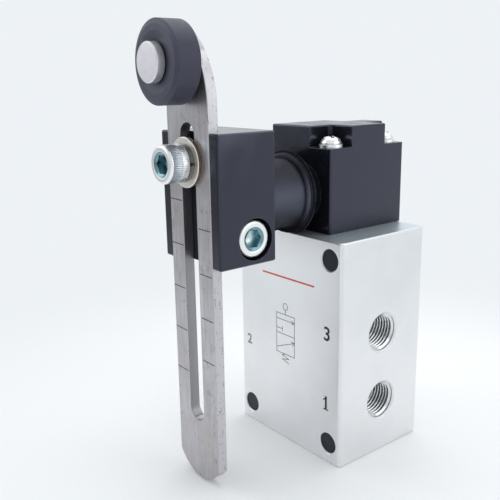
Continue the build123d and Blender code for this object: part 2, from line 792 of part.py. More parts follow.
# Screw and washers that lock the arm in the channel
with BuildPart() as flat_washer:
    washer_start = -arm_front + face_clearance
    tube(flat_washer_diameter, washer_hole_diameter, washer_start, flat_washer_thickness,
         arm_screw_plane)
flat_washer.part.label = "flat_washer"
export_step(flat_washer.part, "parts/flat_washer.step")

with BuildPart() as spring_washer:
    lock_start = washer_start + flat_washer_thickness
    with BuildSketch(arm_screw_plane.offset(lock_start)):
        Circle(spring_washer_diameter / 2)
        Circle(washer_hole_diameter / 2, mode=Mode.SUBTRACT)
        with Locations((spring_washer_diameter / 2, 0)):
            Rectangle(spring_washer_diameter, spring_washer_slit, mode=Mode.SUBTRACT)
    extrude(amount=spring_washer_thickness)
spring_washer.part.label = "spring_washer"
export_step(spring_washer.part, "parts/spring_washer.step")

with BuildPart() as arm_screw:
    arm_under_head = lock_start + spring_washer_thickness
    arm_screw_length = arm_under_head + hub_floor + arm_screw_grip
    cap_screw(arm_screw_plane, arm_under_head, arm_screw_length)
    fillet(arm_screw.faces().sort_by(Axis.Y)[0].edges(), m5_head_break)
    cap_screw_socket(arm_screw_plane, arm_under_head)
arm_screw.part.label = "arm_screw"
export_step(arm_screw.part, "parts/arm_screw.step")

# Slotted arm: round lower end, bullet-shaped upper end
with BuildPart() as lever_arm:
    half_width = arm_width / 2
    lower_side = arm_bottom + arm_bottom_radius - math.sqrt(arm_bottom_radius**2 - half_width**2)
    nose_offset = arm_nose_radius - half_width
    nose_top = arm_nose_start + math.sqrt(arm_nose_radius**2 - nose_offset**2)
    with BuildSketch(Plane.XZ.offset(-arm_back)):
        with BuildLine():
            ThreePointArc((-half_width, lower_side), (0, arm_bottom), (half_width, lower_side))
            Line((half_width, lower_side), (half_width, arm_nose_start))
            RadiusArc((half_width, arm_nose_start), (0, nose_top), -arm_nose_radius)
            RadiusArc((0, nose_top), (-half_width, arm_nose_start), -arm_nose_radius)
            Line((-half_width, arm_nose_start), (-half_width, lower_side))
        arm_outline = make_face()
        fillet(arm_outline.vertices().sort_by(Axis.Z)[-1], arm_tip_radius)
        slot_length = arm_slot_top - arm_slot_bottom
        with Locations((0, (arm_slot_top + arm_slot_bottom) / 2)):
            SlotOverall(slot_length, arm_slot_width, rotation=90, mode=Mode.SUBTRACT)
        with Locations((0, roller_z)):
            Circle(roller_pin_diameter / 2 + seat_clearance, mode=Mode.SUBTRACT)
    extrude(amount=arm_thickness)
    front_edges = lever_arm.faces().sort_by(Axis.Y)[0].outer_wire().edges()
    chamfer(front_edges, arm_edge_break)
lever_arm.part.label = "lever_arm"
export_step(lever_arm.part, "parts/lever_arm.step")

# Roller pin: shouldered head in front, riveted over behind the arm
roller_plane = Plane(origin=(0, 0, roller_z), x_dir=(1, 0, 0), z_dir=(0, -1, 0))
with BuildPart() as roller_pin:
    head_start = -roller_front + face_clearance
    tube(roller_pin_diameter, 0, -arm_back - rivet_head_height / 2,
         head_start + arm_back + rivet_head_height, roller_plane)
    tube(roller_pin_head_diameter, 0, head_start, roller_pin_head_height, roller_plane)
    chamfer(roller_pin.faces().sort_by(Axis.Y)[0].edges(), roller_pin_chamfer)
    tube(rivet_head_diameter, 0, -arm_back - rivet_head_height, rivet_head_height, roller_plane)
    fillet(roller_pin.faces().sort_by(Axis.Y)[-1].edges(), rivet_head_crown)
roller_pin.part.label = "roller_pin"
export_step(roller_pin.part, "parts/roller_pin.step")

with BuildPart() as roller_spacer:
    tube(roller_spacer_diameter, roller_pin_diameter + 2 * seat_clearance, -arm_front,
         roller_gap_to_arm - face_clearance, roller_plane)
roller_spacer.part.label = "roller_spacer"
export_step(roller_spacer.part, "parts/roller_spacer.step")

# Roller with broken rims and a shallow dish round the pin, on a plain bush
with BuildPart() as roller:
    roller_radius = roller_diameter / 2
    rim_radius = roller_radius - roller_break_radial
    turned_across(
        roller_z,
        (roller_back, roller_bush_diameter / 2),
        (roller_back, rim_radius),
        (roller_back - roller_break_axial, roller_radius),
        (roller_front + roller_break_axial, roller_radius),
        (roller_front, rim_radius),
        (roller_front, roller_dish_outer_diameter / 2),
        (roller_front + roller_dish_depth, roller_dish_inner_diameter / 2),
        (roller_front + roller_dish_depth, roller_bush_diameter / 2),
    )
roller.part.label = "roller"
export_step(roller.part, "parts/roller.step")

with BuildPart() as roller_bush:
    tube(roller_bush_diameter - 2 * seat_clearance, roller_pin_diameter + 2 * running_clearance,
         -roller_back, roller_width, roller_plane)
roller_bush.part.label = "roller_bush"
export_step(roller_bush.part, "parts/roller_bush.step")
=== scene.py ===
import json
import math
import bpy
import bmesh
from mathutils import Matrix, Vector


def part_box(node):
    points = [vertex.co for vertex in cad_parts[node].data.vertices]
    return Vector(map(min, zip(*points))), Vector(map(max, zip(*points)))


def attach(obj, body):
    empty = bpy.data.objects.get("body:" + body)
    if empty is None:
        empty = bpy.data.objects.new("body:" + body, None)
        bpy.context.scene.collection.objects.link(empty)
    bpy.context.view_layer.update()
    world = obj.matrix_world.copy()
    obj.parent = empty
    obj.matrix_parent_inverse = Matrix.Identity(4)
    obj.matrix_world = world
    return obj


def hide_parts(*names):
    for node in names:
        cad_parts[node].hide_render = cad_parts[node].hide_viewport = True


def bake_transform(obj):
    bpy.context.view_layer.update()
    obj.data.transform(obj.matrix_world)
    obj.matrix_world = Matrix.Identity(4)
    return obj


bl_info = {
    "name": "Roller lever valve dressing",
    "version": (1, 0, 0),
    "blender": (4, 5, 0),
    "location": "3D View > Sidebar > Valve",
    "description": "Screws, threads, print, finishes and studio round the packed valve",
    "category": "Object",
}

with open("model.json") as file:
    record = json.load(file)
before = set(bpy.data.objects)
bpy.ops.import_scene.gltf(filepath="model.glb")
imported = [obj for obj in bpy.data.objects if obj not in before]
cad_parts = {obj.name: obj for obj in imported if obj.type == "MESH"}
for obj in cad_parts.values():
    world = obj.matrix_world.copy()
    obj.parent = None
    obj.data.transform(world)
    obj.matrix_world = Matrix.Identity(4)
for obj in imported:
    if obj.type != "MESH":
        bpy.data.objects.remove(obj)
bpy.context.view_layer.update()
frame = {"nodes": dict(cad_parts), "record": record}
nodes = frame["nodes"]
MM = 0.001


def box_mm(node):
    """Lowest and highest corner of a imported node, in millimetres."""
    low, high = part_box(node)
    return low / MM, high / MM


body_low, body_high = box_mm("valve_body")
arm_low, arm_high = box_mm("lever_arm")
arm_screw_low, arm_screw_high = box_mm("arm_screw")
clamp_low, clamp_high = box_mm("clamp_screw")
head_screw_low, head_screw_high = box_mm("head_screws")
mounts = {m["name"]: m for m in frame["record"]["mounts"]}

# Where the gloss of the lever head's barrel changes, in metres: the height at which it is
# glossiest, a painted highlight, how far above and below that it has faded into painted shade,
# and along Y the place just before the head's face and the one just before the barrel's flange,
# behind which the gloss is cut as painted shade
barrel_height = 67.8 * MM
barrel_reach = 7.5 * MM
before_head = -10.7 * MM
before_flange = -16.0 * MM
blur = 0.2 * MM


class FinishSettings(bpy.types.PropertyGroup):
    """Colours of the finishes, as linear values."""

    aluminium: bpy.props.FloatVectorProperty(
        name="Satin aluminium", description="Colour of the anodised valve body",
        subtype="COLOR", size=3, default=(0.84, 0.85, 0.86), min=0, max=1)
    casting: bpy.props.FloatVectorProperty(
        name="Black casting", description="Colour of the lever head and the hub",
        subtype="COLOR", size=3, default=(0.008, 0.0085, 0.012), min=0, max=1)
    roller: bpy.props.FloatVectorProperty(
        name="Roller plastic", description="Colour of the roller",
        subtype="COLOR", size=3, default=(0.035, 0.036, 0.050), min=0, max=1)
    plug: bpy.props.FloatVectorProperty(
        name="Plug plastic", description="Colour of the corner plugs",
        subtype="COLOR", size=3, default=(0.006, 0.010, 0.012), min=0, max=1)
    zinc: bpy.props.FloatVectorProperty(
        name="Zinc plating", description="Colour of the plated screws and the head's washers",
        subtype="COLOR", size=3, default=(0.93, 0.93, 0.93), min=0, max=1)
    steel: bpy.props.FloatVectorProperty(
        name="Stainless steel", description="Colour of the arm, the pins and the inner steel",
        subtype="COLOR", size=3, default=(0.525, 0.515, 0.54), min=0, max=1)
    brass: bpy.props.FloatVectorProperty(
        name="Brass", description="Colour of bushes, seats and the lower plug",
        subtype="COLOR", size=3, default=(0.66, 0.47, 0.20), min=0, max=1)
    # Teal tint of the plating, darkened as painted shade inside the sockets
    socket: bpy.props.FloatVectorProperty(
        name="Socket plating", description="Colour of the plating inside the screws' sockets",
        subtype="COLOR", size=3, default=(0.20, 0.34, 0.38), min=0, max=1)
    rubber: bpy.props.FloatVectorProperty(
        name="Seal rubber", description="Colour of the seals",
        subtype="COLOR", size=3, default=(0.012, 0.012, 0.013), min=0, max=1)
    dark_ink: bpy.props.FloatVectorProperty(
        name="Dark print", description="Colour of the near ports' numbers and the arm's marks",
        subtype="COLOR", size=3, default=(0.010, 0.012, 0.018), min=0, max=1)
    grey_ink: bpy.props.FloatVectorProperty(
        name="Grey print", description="Colour of the flow symbol and the far port's number",
        subtype="COLOR", size=3, default=(0.25, 0.26, 0.28), min=0, max=1)
    red_ink: bpy.props.FloatVectorProperty(
        name="Red print", description="Colour of the rule under the head",
        subtype="COLOR", size=3, default=(0.72, 0.10, 0.05), min=0, max=1)


class DetailSettings(bpy.types.PropertyGroup):
    """Sizes of the details, in millimetres."""

    thread_pitch: bpy.props.FloatProperty(
        name="Port thread pitch", description="Pitch of the ports' thread, mm",
        default=0.907, min=0.3, max=3)
    thread_depth: bpy.props.FloatProperty(
        name="Port thread depth", description="Height of the port thread's ridge, mm",
        default=0.58, min=0.1, max=1)
    screw_pitch: bpy.props.FloatProperty(
        name="Screw thread pitch", description="Pitch of the M5 threads, mm",
        default=0.8, min=0.3, max=2)
    knurl_teeth: bpy.props.IntProperty(
        name="Knurl teeth", description="Ridges round a socket head", default=54, min=12, max=60)
    knurl_depth: bpy.props.FloatProperty(
        name="Knurl depth", description="Depth of a socket head's knurl, mm",
        default=0.12, min=0, max=0.4)
    number_height: bpy.props.FloatProperty(
        name="Number height", description="Height of the port numbers, mm",
        default=3.5, min=1, max=10)
    print_thickness: bpy.props.FloatProperty(
        name="Print thickness", description="How far print stands off the face, mm",
        default=0.02, min=0.005, max=0.1)
    mark_pitch: bpy.props.FloatProperty(
        name="Scale pitch", description="Distance between the arm's marks on one side, mm",
        default=10.4, min=2, max=30)
    mark_width: bpy.props.FloatProperty(
        name="Scale line width", description="Width of a mark's line, mm",
        default=0.22, min=0.05, max=1)


class StageSettings(bpy.types.PropertyGroup):
    """Camera and background."""

    camera_place: bpy.props.FloatVectorProperty(
        name="Camera place", description="Where the camera stands, mm",
        size=3, default=(125.84, -126.61, 95.07))
    camera_turn: bpy.props.FloatProperty(
        name="Camera turn", description="Camera's turn from +Y towards +X",
        subtype="ANGLE", default=-0.901)
    camera_tilt: bpy.props.FloatProperty(
        name="Camera tilt", description="Camera's tilt below the horizon",
        subtype="ANGLE", default=0.244)
    camera_roll: bpy.props.FloatProperty(
        name="Camera roll", description="Camera's roll", subtype="ANGLE", default=-0.017)
    focal_length: bpy.props.FloatProperty(
        name="Focal length", description="Lens for a 36 mm wide sensor, mm",
        default=49.05, min=10, max=300)
    background: bpy.props.FloatVectorProperty(
        name="Background", description="Colour of the sweep behind the valve",
        subtype="COLOR", size=3, default=(0.855, 0.89, 0.92), min=0, max=1)


# Node group helpers

def group(name, inputs, outputs):
    """Shader node group from float inputs (name, default) and outputs (name, kind)."""
    tree = bpy.data.node_groups.new(name, "ShaderNodeTree")
    for label, value in inputs:
        socket = tree.interface.new_socket(
            name=label, in_out="INPUT", socket_type="NodeSocketFloat")
        socket.default_value = value
    for label, kind in outputs:
        tree.interface.new_socket(name=label, in_out="OUTPUT", socket_type=kind)
    return tree, tree.nodes.new("NodeGroupInput"), tree.nodes.new("NodeGroupOutput")


def noise(tree, vector, scale, detail=3.0, rough=0.5):
    node = tree.nodes.new("ShaderNodeTexNoise")
    node.inputs["Detail"].default_value = detail
    node.inputs["Roughness"].default_value = rough
    tree.links.new(vector, node.inputs["Vector"])
    feed(tree, scale, node.inputs["Scale"])
    return node


def feed(tree, value, socket):
    """Link a socket, or set a plain value."""
    if isinstance(value, (int, float)):
        socket.default_value = value
    else:
        tree.links.new(value, socket)


def math_node(tree, operation, *values):
    node = tree.nodes.new("ShaderNodeMath")
    node.operation = operation
    for value, socket in zip(values, node.inputs):
        feed(tree, value, socket)
    return node.outputs[0]


def ramp(tree, value, low, high, out_low=0.0, out_high=1.0):
    """Smooth step of a value from low..high to out_low..out_high."""
    node = tree.nodes.new("ShaderNodeMapRange")
    node.interpolation_type = "SMOOTHSTEP"
    limits = {"From Min": low, "From Max": high, "To Min": out_low, "To Max": out_high}
    for label, number in limits.items():
        feed(tree, number, node.inputs[label])
    feed(tree, value, node.inputs["Value"])
    return node.outputs["Result"]


def split(tree, vector):
    """X, Y and Z of a vector socket, as outputs by name."""
    node = tree.nodes.new("ShaderNodeSeparateXYZ")
    tree.links.new(vector, node.inputs["Vector"])
    return node.outputs


def grain_group():
    """Fine all-over grain: a height for bump and a mask that varies the gloss."""
    tree, given, out = group(
        "fine_grain", [("Scale", 6000.0), ("Blotch Scale", 250.0)],
        [("Height", "NodeSocketFloat"), ("Blotch", "NodeSocketFloat")])
    place = tree.nodes.new("ShaderNodeTexCoord").outputs["Object"]
    fine = noise(tree, place, given.outputs["Scale"], 2.0)
    broad = noise(tree, place, given.outputs["Blotch Scale"], 4.0, 0.6)
    tree.links.new(fine.outputs["Fac"], out.inputs["Height"])
    tree.links.new(ramp(tree, broad.outputs["Fac"], 0.35, 0.7), out.inputs["Blotch"])


def edge_group():
    """Rounded-edge normal, and a mask along the edges broken up by noise."""
    tree, given, out = group(
        "edge_wear", [("Radius", 0.00025), ("Break Up", 900.0)],
        [("Normal", "NodeSocketVector"), ("Mask", "NodeSocketFloat")])
    bevel = tree.nodes.new("ShaderNodeBevel")
    bevel.samples = 6
    tree.links.new(given.outputs["Radius"], bevel.inputs["Radius"])
    geometry = tree.nodes.new("ShaderNodeNewGeometry")
    dot = tree.nodes.new("ShaderNodeVectorMath")
    dot.operation = "DOT_PRODUCT"
    tree.links.new(bevel.outputs["Normal"], dot.inputs[0])
    tree.links.new(geometry.outputs["Normal"], dot.inputs[1])
    edge = ramp(tree, dot.outputs["Value"], 0.995, 0.90)
    place = tree.nodes.new("ShaderNodeTexCoord").outputs["Object"]
    broken = ramp(tree, noise(tree, place, given.outputs["Break Up"]).outputs["Fac"], 0.35, 0.6)
    tree.links.new(math_node(tree, "MULTIPLY", edge, broken), out.inputs["Mask"])
    tree.links.new(bevel.outputs["Normal"], out.inputs["Normal"])


def speck_group():
    """Small scattered specks and pits."""
    tree, given, out = group(
        "specks", [("Scale", 900.0), ("Size", 0.16), ("Share", 0.35)],
        [("Mask", "NodeSocketFloat")])
    place = tree.nodes.new("ShaderNodeTexCoord").outputs["Object"]
    cells = tree.nodes.new("ShaderNodeTexVoronoi")
    tree.links.new(place, cells.inputs["Vector"])
    tree.links.new(given.outputs["Scale"], cells.inputs["Scale"])
    size = math_node(tree, "MULTIPLY", given.outputs["Size"], 0.6)
    spot = ramp(tree, cells.outputs["Distance"], given.outputs["Size"], size)
    chosen = tree.nodes.new("ShaderNodeSeparateColor")
    tree.links.new(cells.outputs["Color"], chosen.inputs["Color"])
    kept = math_node(tree, "LESS_THAN", chosen.outputs["Red"], given.outputs["Share"])
    tree.links.new(math_node(tree, "MULTIPLY", spot, kept), out.inputs["Mask"])


def brushed_group():
    """Long fine lines along Z, short cross scratches, and broad blotches."""
    tree, given, out = group(
        "brushed_lines", [("Scale", 2600.0), ("Stretch", 0.03), ("Scratch Scale", 420.0)],
        [("Lines", "NodeSocketFloat"), ("Scratches", "NodeSocketFloat"),
         ("Blotch", "NodeSocketFloat")])
    place = tree.nodes.new("ShaderNodeTexCoord").outputs["Object"]
    scale = tree.nodes.new("ShaderNodeCombineXYZ")
    scale.inputs["X"].default_value = 1.0
    scale.inputs["Y"].default_value = 1.0
    tree.links.new(given.outputs["Stretch"], scale.inputs["Z"])
    along = tree.nodes.new("ShaderNodeVectorMath")
    along.operation = "MULTIPLY"
    tree.links.new(place, along.inputs[0])
    tree.links.new(scale.outputs["Vector"], along.inputs[1])
    lines = noise(tree, along.outputs["Vector"], given.outputs["Scale"], 4.0, 0.65)
    turned = tree.nodes.new("ShaderNodeMapping")
    turned.inputs["Rotation"].default_value = (0.0, 0.9, 0.0)
    turned.inputs["Scale"].default_value = (1.0, 1.0, 0.06)
    tree.links.new(place, turned.inputs["Vector"])
    crossing = noise(tree, turned.outputs["Vector"], given.outputs["Scratch Scale"], 5.0, 0.7)
    blotch = noise(tree, place, 130.0, 3.0, 0.6)
    tree.links.new(lines.outputs["Fac"], out.inputs["Lines"])
    tree.links.new(ramp(tree, crossing.outputs["Fac"], 0.62, 0.70), out.inputs["Scratches"])
    tree.links.new(ramp(tree, blotch.outputs["Fac"], 0.35, 0.65), out.inputs["Blotch"])


def shared_groups():
    if "fine_grain" not in bpy.data.node_groups:
        grain_group()
        edge_group()
        speck_group()
        brushed_group()
    return bpy.data.node_groups


def use_group(tree, name, **values):
    node = tree.nodes.new("ShaderNodeGroup")
    node.node_tree = shared_groups()[name]
    for label, value in values.items():
        node.inputs[label.replace("_", " ").title()].default_value = value
    return node


def mix_colour(tree, factor, first, second):
    node = tree.nodes.new("ShaderNodeMix")
    node.data_type = "RGBA"
    feed(tree, factor, node.inputs["Factor"])
    for value, socket in ((first, node.inputs["A"]), (second, node.inputs["B"])):
        if isinstance(value, bpy.types.NodeSocket):
            tree.links.new(value, socket)
        else:
            socket.default_value = (*value, 1.0)
    return node.outputs["Result"]


def bump(tree, height, strength, distance, normal=None):
    node = tree.nodes.new("ShaderNodeBump")
    feed(tree, strength, node.inputs["Strength"])
    node.inputs["Distance"].default_value = distance
    tree.links.new(height, node.inputs["Height"])
    if normal is not None:
        tree.links.new(normal, node.inputs["Normal"])
    return node.outputs["Normal"]


def material(name):
    """New material: its node tree and its Principled shader."""
    made = bpy.data.materials.new(name)
    made.use_nodes = True
    return made.node_tree, made.node_tree.nodes["Principled BSDF"]


def dress(tree, shader, colour, rough, normal):
    """Link what varies over a surface to its shader."""
    for value, label in ((colour, "Base Color"), (rough, "Roughness"), (normal, "Normal")):
        tree.links.new(value, shader.inputs[label])


def shade(colour, factor):
    return tuple(min(1.0, c * factor) for c in colour)


def finish_aluminium(finish):
    """Satin aluminium, with a painted reflection that makes it cooler on top and painted light that
    makes the upper part of the front brighter.
    """
    tree, shader = material("satin_aluminium")
    shader.inputs["Metallic"].default_value = 0.85
    coordinates = tree.nodes.new("ShaderNodeTexCoord")
    normals = split(tree, coordinates.outputs["Normal"])
    places = split(tree, coordinates.outputs["Object"])
    plain = finish.aluminium
    painted_reflection_colour, painted_light_colour = (0.79, 0.88, 0.93), (0.96, 0.97, 0.98)
    grain = use_group(tree, "fine_grain", scale=9000.0, blotch_scale=60.0)
    edge = use_group(tree, "edge_wear", radius=0.0003, break_up=500.0)
    base = mix_colour(tree, grain.outputs["Blotch"], plain, shade(plain, 0.95))
    # Painted reflection: the top faces take a cooler, bluer colour
    top = ramp(tree, normals["Z"], 0.8, 0.95)
    base = mix_colour(tree, top, base, painted_reflection_colour)
    # Painted light: the upper part of the front face is made brighter
    front = ramp(tree, normals["Y"], -0.8, -0.95)
    high = ramp(tree, places["Z"], 36.0 * MM, 54.0 * MM)
    base = mix_colour(tree, math_node(tree, "MULTIPLY", front, high), base, painted_light_colour)
    base = mix_colour(tree, edge.outputs["Mask"], base, shade(plain, 1.08))
    rough = ramp(tree, grain.outputs["Height"], 0.3, 0.7, 0.30, 0.40)
    normal = bump(tree, grain.outputs["Height"], 0.12, 0.00003, edge.outputs["Normal"])
    dress(tree, shader, base, rough, normal)


def cast_barrel(tree, places, level, gloss, relief):
    """Gloss level, roughness and relief of the lever head, with its barrel left as cast.

    The barrel's gloss level carries painted light: a painted highlight at its own height, painted
    shade above and below it, and painted shade from its flange back to the head.
    """
    rougher, cast_relief = 0.28, 0.7
    # Gloss below, at and above the painted highlight, and in the painted shade behind the flange
    lowest, middle, highest, flange = -1.0, 0.6, -0.75, 0.1
    cast = ramp(tree, places["Y"], before_head - blur, before_head, 1.0, 0.0)
    gloss = math_node(tree, "ADD", gloss, math_node(tree, "MULTIPLY", cast, rougher))
    relief = ramp(tree, cast, 0.0, 1.0, relief, cast_relief)
    under = ramp(tree, places["Z"], barrel_height - barrel_reach, barrel_height, lowest, middle)
    over = ramp(tree, places["Z"], barrel_height, barrel_height + barrel_reach, middle, highest)
    painted_gloss_band = math_node(tree, "MULTIPLY", cast, math_node(tree, "MINIMUM", under, over))
    level = math_node(tree, "MULTIPLY_ADD", painted_gloss_band, level, level)
    # Painted shade: from the flange back to the head the gloss is cut
    behind = ramp(tree, places["Y"], before_flange - blur, before_flange)
    flange_painted_shade = math_node(tree, "MULTIPLY", cast, behind)
    level = math_node(tree, "MULTIPLY", level, ramp(tree, flange_painted_shade, 0.0, 1.0, 1.0, flange))
    return level, gloss, relief


def finish_black(name, colour, rough, grain_scale, bump_strength, wear_and_highlight, specular,
                 front_share=1.0, barrel=False):
    """Black casting or plastic: grain, specks of dust, paler edges, partly rubbed and partly a
    painted highlight, and recesses whose gloss is cut as painted shade.

    front_share is how much of the gloss the faces that look along -Y keep, painted light above 1
    and painted shade below it, and barrel says that the finish is for the lever head.
    """
    tree, shader = material(name)
    worn_and_highlit_colour, dust_colour = (0.30, 0.31, 0.34), (0.45, 0.46, 0.50)
    shader.inputs["Specular Tint"].default_value = (0.72, 0.76, 1.0, 1.0)
    coordinates = tree.nodes.new("ShaderNodeTexCoord")
    normals = split(tree, coordinates.outputs["Normal"])
    grain = use_group(tree, "fine_grain", scale=grain_scale, blotch_scale=180.0)
    edge = use_group(tree, "edge_wear", radius=0.00022, break_up=700.0)
    dust = use_group(tree, "specks", scale=420.0, size=0.06, share=0.07)
    base = mix_colour(tree, grain.outputs["Blotch"], colour, shade(colour, 1.18))
    # Paler edges: partly rubbed, partly a painted highlight along the rounded edges
    worn_and_highlit = math_node(tree, "MULTIPLY", edge.outputs["Mask"], wear_and_highlight)
    base = mix_colour(tree, worn_and_highlit, base, worn_and_highlit_colour)
    settled = ramp(tree, normals["Z"], -0.6, 0.0, 0.0, 0.5)
    dusty = math_node(tree, "MULTIPLY", dust.outputs["Mask"], settled)
    base = mix_colour(tree, dusty, base, dust_colour)
    # Painted shade: the gloss level falls in recesses, found by ambient occlusion
    openness = tree.nodes.new("ShaderNodeAmbientOcclusion")
    openness.samples = 6
    openness.inputs["Distance"].default_value = 0.008
    level = ramp(tree, openness.outputs["AO"], 0.40, 0.80, 0.08 * specular, specular)
    # Painted light and shade: the faces that look along -Y keep front_share of the gloss
    facing = ramp(tree, normals["Y"], -0.7, -0.95, 1.0, front_share)
    level = math_node(tree, "MULTIPLY", level, facing)
    gloss = ramp(tree, grain.outputs["Blotch"], 0.0, 1.0, rough - 0.04, rough + 0.05)
    relief = bump_strength
    if barrel:
        places = split(tree, coordinates.outputs["Object"])
        level, gloss, relief = cast_barrel(tree, places, level, gloss, relief)
    tree.links.new(level, shader.inputs["Specular IOR Level"])
    normal = bump(tree, grain.outputs["Height"], relief, 0.00005, edge.outputs["Normal"])
    dress(tree, shader, base, gloss, normal)


def finish_plated(name, colour, rough, tint, metallic=0.8):
    """Bright plated or cut metal with a faint tint and scattered dark specks."""
    tree, shader = material(name)
    shader.inputs["Metallic"].default_value = metallic
    grain = use_group(tree, "fine_grain", scale=5000.0, blotch_scale=700.0)
    edge = use_group(tree, "edge_wear", radius=0.00012, break_up=1500.0)
    specks = use_group(tree, "specks", scale=1500.0, size=0.20, share=0.12)
    base = mix_colour(tree, grain.outputs["Blotch"], colour, tint)
    dark = math_node(tree, "MULTIPLY", specks.outputs["Mask"], 0.75)
    base = mix_colour(tree, dark, base, shade(colour, 0.25))
    gloss = ramp(tree, grain.outputs["Blotch"], 0.0, 1.0, rough - 0.05, rough + 0.06)
    normal = bump(tree, grain.outputs["Height"], 0.10, 0.00004, edge.outputs["Normal"])
    dress(tree, shader, base, gloss, normal)


def finish_brushed(name, colour, rough):
    """Rolled stainless: lines along Z, scratches, blotches, streaks and dark pits."""
    tree, shader = material(name)
    shader.inputs["Metallic"].default_value = 0.9
    coordinates = tree.nodes.new("ShaderNodeTexCoord")
    normals = split(tree, coordinates.outputs["Normal"])
    places = split(tree, coordinates.outputs["Object"])
    lines = use_group(tree, "brushed_lines")
    edge = use_group(tree, "edge_wear", radius=0.00015, break_up=1200.0)
    pits = use_group(tree, "specks", scale=600.0, size=0.12, share=0.30)
    chips = use_group(tree, "specks", scale=1500.0, size=0.30, share=0.28)

    # Broad faces
    lined = ramp(tree, lines.outputs["Lines"], 0.3, 0.7)
    base = mix_colour(tree, lined, shade(colour, 0.80), shade(colour, 1.12))
    blotch = math_node(tree, "MULTIPLY", lines.outputs["Blotch"], 0.5)
    base = mix_colour(tree, blotch, base, (colour[0] * 0.80, colour[1] * 0.74, colour[2] * 0.68))
    scratch = math_node(tree, "MULTIPLY", lines.outputs["Scratches"], 0.5)
    base = mix_colour(tree, scratch, base, shade(colour, 1.4))
    smudge = noise(tree, coordinates.outputs["Object"], 420.0, 5.0, 0.7)
    smudged = math_node(tree, "MULTIPLY", ramp(tree, smudge.outputs["Fac"], 0.56, 0.70), 0.4)
    base = mix_colour(tree, smudged, base, shade(colour, 0.45))

    # Sides: chipped, with painted light on the outer sides and painted shade on the slot's walls
    side = ramp(tree, math_node(tree, "ABSOLUTE", normals["X"]), 0.6, 0.9)
    inner = ramp(tree, math_node(tree, "ABSOLUTE", places["X"]), 0.004, 0.0045, 1.0, 0.0)
    # Painted light on the outer sides, painted shade on the slot's walls
    cut = mix_colour(tree, inner, shade(colour, 1.10), shade(colour, 0.62))
    base = mix_colour(tree, side, base, cut)
    chip = math_node(tree, "MULTIPLY", chips.outputs["Mask"], side)
    base = mix_colour(tree, math_node(tree, "MULTIPLY", chip, 0.5), base, shade(colour, 0.25))

    # Dark streaks on the limb towards +X, and pits all over
    stretched = tree.nodes.new("ShaderNodeMapping")
    stretched.inputs["Scale"].default_value = (1.0, 1.0, 0.22)
    tree.links.new(coordinates.outputs["Object"], stretched.inputs["Vector"])
    streaks = noise(tree, stretched.outputs["Vector"], 1900.0, 3.0, 0.6)
    limb = ramp(tree, places["X"], 0.0035, 0.0045)
    streak = math_node(tree, "MULTIPLY", ramp(tree, streaks.outputs["Fac"], 0.62, 0.68), limb)
    base = mix_colour(tree, math_node(tree, "MULTIPLY", streak, 0.55), base, shade(colour, 0.20))
    pit = math_node(tree, "MULTIPLY", pits.outputs["Mask"], 0.7)
    base = mix_colour(tree, pit, base, shade(colour, 0.18))

    gloss = ramp(tree, lines.outputs["Lines"], 0.3, 0.7, rough - 0.06, rough + 0.08)
    normal = bump(tree, lines.outputs["Lines"], 0.20, 0.00003, edge.outputs["Normal"])
    dress(tree, shader, base, gloss, normal)


def finish_metal(name, colour, rough):
    """Turned or pressed metal: inner pieces, sockets, recesses and port threads."""
    tree, shader = material(name)
    shader.inputs["Metallic"].default_value = 1.0
    grain = use_group(tree, "fine_grain", scale=4000.0, blotch_scale=500.0)
    base = mix_colour(tree, grain.outputs["Blotch"], colour, shade(colour, 0.86))
    gloss = ramp(tree, grain.outputs["Blotch"], 0.0, 1.0, rough - 0.05, rough + 0.05)
    normal = bump(tree, grain.outputs["Height"], 0.08, 0.00003)
    dress(tree, shader, base, gloss, normal)


def finish_ink(name, colour):
    """Screen print or scribed line: flat colour that is a little thin in places."""
    tree, shader = material(name)
    shader.inputs["Specular IOR Level"].default_value = 0.3
    grain = use_group(tree, "fine_grain", scale=3500.0, blotch_scale=1600.0)
    paler = tuple(0.7 * c + 0.15 for c in colour)
    thin = math_node(tree, "MULTIPLY", grain.outputs["Blotch"], 0.4)
    tree.links.new(mix_colour(tree, thin, colour, paler), shader.inputs["Base Color"])
    gloss = ramp(tree, grain.outputs["Height"], 0.3, 0.7, 0.45, 0.6)
    tree.links.new(gloss, shader.inputs["Roughness"])


# Mesh helpers

# Edges that turn by more than this stay sharp
SHARP = math.radians(35)


def piece(name, bm, finish_names, body, replaced=(), matrix=None, bend=None):
    """New object at the origin from a bmesh in millimetres, riding on a body.

    bend, when given, leaves the piece where it stands and on no body; the other body's name and
    the two points that it holds are not used.
    """
    if matrix is not None:
        bmesh.ops.transform(bm, matrix=matrix, verts=bm.verts)
    bmesh.ops.scale(bm, vec=Vector((MM, MM, MM)), verts=bm.verts)
    bmesh.ops.remove_doubles(bm, verts=bm.verts, dist=1e-7)
    bmesh.ops.recalc_face_normals(bm, faces=bm.faces)
    mesh = bpy.data.meshes.new(name)
    bm.to_mesh(mesh)
    bm.free()
    mesh.shade_smooth()
    mesh.set_sharp_from_angle(angle=SHARP)
    obj = bpy.data.objects.new(name, mesh)
    bpy.context.scene.collection.objects.link(obj)
    for finish_name in finish_names:
        mesh.materials.append(bpy.data.materials[finish_name])
    if bend:
        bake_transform(obj)
    else:
        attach(obj, body)
    if replaced:
        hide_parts(*replaced)


def lathe(profile, steps):
    """Shape turned about Z from (radius, height) points: both ends on the axis, or a loop."""
    bm = bmesh.new()
    points = [bm.verts.new((r, 0, z)) for r, z in profile]
    edges = [bm.edges.new(pair) for pair in zip(points, points[1:])]
    bmesh.ops.spin(bm, geom=points + edges, cent=(0, 0, 0), axis=(0, 0, 1),
                   angle=2 * math.pi, steps=steps, use_merge=True, use_duplicate=False)
    bmesh.ops.remove_doubles(bm, verts=bm.verts, dist=1e-5)
    return bm


